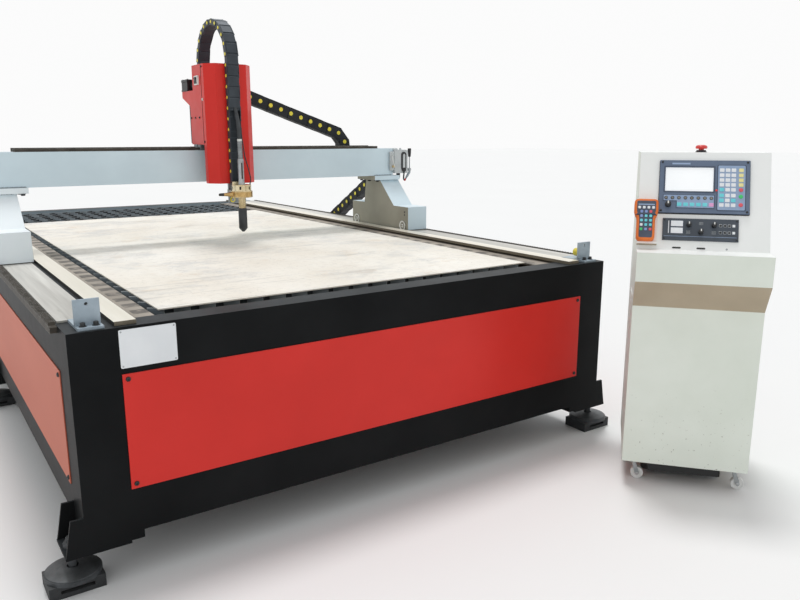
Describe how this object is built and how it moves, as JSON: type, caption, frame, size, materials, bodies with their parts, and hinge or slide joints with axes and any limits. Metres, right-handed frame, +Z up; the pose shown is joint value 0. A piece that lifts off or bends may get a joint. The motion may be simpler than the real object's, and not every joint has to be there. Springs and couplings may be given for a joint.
{
  "type": "cnc plasma table",
  "caption": "Floor-standing gantry plasma cutting table with slat bed, racked cross beam, lifting torch head, cable chains and a wheeled control console.",
  "frame": {"origin": "middle of the bounding box on the floor", "axes": "+X to the right and +Y to the back as seen from the front, +Z up"},
  "size_m": [2.4738, 4.4764, 1.7947],
  "materials": {
    "black_paint": "satin",
    "red_paint": "satin",
    "grey_paint": "satin",
    "console_paint": "satin",
    "steel": "brushed",
    "raw_steel": "worn",
    "sheet_steel": "worn",
    "motor": "satin",
    "rubber": "matte",
    "black_rubber": "matte",
    "chain_plastic": "matte",
    "alu": "cast",
    "brass": "polished",
    "tip": "oxidised",
    "hose": "matte",
    "bezel": "matte",
    "screen": "gloss",
    "keys": "matte",
    "dark_plastic": "matte",
    "red_plastic": "gloss",
    "orange_rubber": "matte",
    "white_plastic": "matte"
  },
  "bodies": {
    "table": {"table_frame": "black_paint", "levelling_feet": "steel", "foot_blocks": "black_rubber", "front_panel": "red_paint", "side_panels": "red_paint", "frame_screws": "steel", "slats": "raw_steel", "slat_bearers": "raw_steel", "dross_tray": "raw_steel", "side_rails": "steel", "racks": "steel", "stop_brackets": "grey_paint", "stop_bumpers": "rubber", "y_chain_tray": "black_paint", "y_chain": "chain_plastic"},
    "sheet": {"work_sheet": "sheet_steel"},
    "gantry": {"gantry_beam": "grey_paint", "left_carriage": "grey_paint", "right_carriage": "grey_paint", "gantry_motors": "motor", "x_guides": "steel", "x_chain_tray": "grey_paint", "x_chain": "chain_plastic", "oil_pump": "alu"},
    "front_wheels": {"front_wheels": "steel"},
    "rear_wheels": {"rear_wheels": "steel"},
    "drive_pinions": {"drive_pinions": "steel"},
    "oil_pump_lever": {"oil_pump_lever": "steel"},
    "head": {"head_plate": "alu", "head_cover": "red_paint", "motor_box": "red_paint", "x_motor": "motor", "z_drive": "steel", "z_chain": "chain_plastic"},
    "x_pinion": {"x_pinion": "steel"},
    "z_screw": {"z_screw": "steel"},
    "lift": {"lift_slide": "alu", "torch_holder": "brass", "torch_body": "brass", "torch_tip": "tip", "torch_hose": "hose"},
    "console": {"console_cabinet": "console_paint", "console_drives": "dark_plastic", "controller": "bezel", "controller_screen": "screen", "controller_keys": "keys", "thc_panel": "dark_plastic", "rear_casters": "steel"},
    "controller_knob": {"controller_knob": "dark_plastic"},
    "thc_knob_left": {"thc_knob_left": "dark_plastic"},
    "thc_knob_middle": {"thc_knob_middle": "dark_plastic"},
    "thc_knob_right": {"thc_knob_right": "dark_plastic"},
    "e_stop_button": {"e_stop_button": "red_plastic"},
    "pendant": {"pendant": "orange_rubber"},
    "left_caster": {"left_caster": "steel"},
    "right_caster": {"right_caster": "steel"},
    "left_caster_wheel": {"left_caster_wheel": "white_plastic"},
    "right_caster_wheel": {"right_caster_wheel": "white_plastic"},
    "rear_caster_wheels": {"rear_caster_wheels": "white_plastic"}
  },
  "joints": [
    {"name": "gantry_travel", "type": "slide", "parent": "table", "child": "gantry", "axis": [0, 1, 0], "range_m": [-1.14, 1.775], "deforming": ["y_chain"]},
    {"name": "front_wheel_roll", "type": "hinge", "parent": "gantry", "child": "front_wheels", "pos_m": [-0.09039, -0.17818, 0.78], "axis": [1, 0, 0], "range_deg": [-4400, 4400]},
    {"name": "rear_wheel_roll", "type": "hinge", "parent": "gantry", "child": "rear_wheels", "pos_m": [-0.09039, 0.29882, 0.78], "axis": [1, 0, 0], "range_deg": [-4400, 4400]},
    {"name": "pinion_turn", "type": "hinge", "parent": "gantry", "child": "drive_pinions", "pos_m": [-0.09039, 0.06032, 0.789], "axis": [1, 0, 0], "range_deg": [-3000, 3000]},
    {"name": "oil_pump_stroke", "type": "hinge", "parent": "gantry", "child": "oil_pump_lever", "pos_m": [1.03961, 0.06232, 1.069], "axis": [0, 1, 0], "range_deg": [0, 45], "stiffness_Nm_per_rad": 0.5, "springref_deg": -17.19},
    {"name": "carriage_travel", "type": "slide", "parent": "gantry", "child": "head", "axis": [1, 0, 0], "range_m": [-0.75, 0.75], "deforming": ["x_chain"]},
    {"name": "cross_pinion_turn", "type": "hinge", "parent": "head", "child": "x_pinion", "pos_m": [-0.16539, 0.19877, 1.19], "axis": [0, 0, 1], "range_deg": [-1850, 1850]},
    {"name": "torch_lift", "type": "slide", "parent": "head", "child": "lift", "axis": [0, 0, 1], "range_m": [-0.055, 0.03], "deforming": ["z_chain"]},
    {"name": "lift_screw_turn", "type": "hinge", "parent": "head", "child": "z_screw", "pos_m": [-0.09039, 0.00352, 1.04], "axis": [0, 0, 1], "range_deg": [-4200, 2400]},
    {"name": "sheet_lift", "type": "slide", "parent": "table", "child": "sheet", "axis": [0, 0, 1], "range_m": [0, 0.005]},
    {"name": "console_roll", "type": "slide", "parent": "table", "child": "console", "axis": [0.766, 0.6428, 0], "range_m": [-0.5, 0.3]},
    {"name": "dial_turn", "type": "hinge", "parent": "console", "child": "controller_knob", "pos_m": [0.77711, -1.88592, 1.02158], "axis": [-0.6963, -0.5843, 0.4169], "range_deg": [-140, 140]},
    {"name": "thc_left_turn", "type": "hinge", "parent": "console", "child": "thc_knob_left", "pos_m": [0.80562, -1.95517, 0.95295], "axis": [-0.6963, -0.5843, 0.4169], "range_deg": [-140, 140]},
    {"name": "thc_middle_turn", "type": "hinge", "parent": "console", "child": "thc_knob_middle", "pos_m": [0.82274, -1.99198, 0.92997], "axis": [-0.6963, -0.5843, 0.4169], "range_deg": [-140, 140]},
    {"name": "thc_right_turn", "type": "hinge", "parent": "console", "child": "thc_knob_right", "pos_m": [0.85759, -2.01711, 0.95295], "axis": [-0.6963, -0.5843, 0.4169], "range_deg": [-140, 140]},
    {"name": "e_stop_press", "type": "slide", "parent": "console", "child": "e_stop_button", "axis": [0, 0, -1], "range_m": [0, 0.004], "stiffness_N_per_m": 800},
    {"name": "pendant_lift", "type": "slide", "parent": "console", "child": "pendant", "axis": [-0.6963, -0.5843, 0.4169], "range_m": [0, 0.15]},
    {"name": "left_caster_swivel", "type": "hinge", "parent": "console", "child": "left_caster", "pos_m": [0.7209, -1.85753, 0.085], "axis": [0, 0, 1], "continuous": true},
    {"name": "left_caster_roll", "type": "hinge", "parent": "left_caster", "child": "left_caster_wheel", "pos_m": [0.73247, -1.87132, 0.023], "axis": [0.766, 0.6428, 0], "continuous": true},
    {"name": "right_caster_swivel", "type": "hinge", "parent": "console", "child": "right_caster", "pos_m": [0.94459, -2.12412, 0.085], "axis": [0, 0, 1], "continuous": true},
    {"name": "right_caster_roll", "type": "hinge", "parent": "right_caster", "child": "right_caster_wheel", "pos_m": [0.95616, -2.13791, 0.023], "axis": [0.766, 0.6428, 0], "continuous": true},
    {"name": "rear_caster_roll", "type": "hinge", "parent": "console", "child": "rear_caster_wheels", "pos_m": [1.05413, -1.80506, 0.023], "axis": [0.6428, -0.766, 0], "range_deg": [-1300, 1300]}
  ],
  "couplings": [
    {"joint": "front_wheel_roll", "follows": "gantry_travel", "rad_per_m": -42.194},
    {"joint": "rear_wheel_roll", "follows": "gantry_travel", "rad_per_m": -42.194},
    {"joint": "pinion_turn", "follows": "gantry_travel", "rad_per_m": -28.571},
    {"joint": "cross_pinion_turn", "follows": "carriage_travel", "rad_per_m": -41.667},
    {"joint": "lift_screw_turn", "follows": "torch_lift", "rad_per_m": 1256.6},
    {"joint": "rear_caster_roll", "follows": "console_roll", "rad_per_m": -43.478}
  ]
}
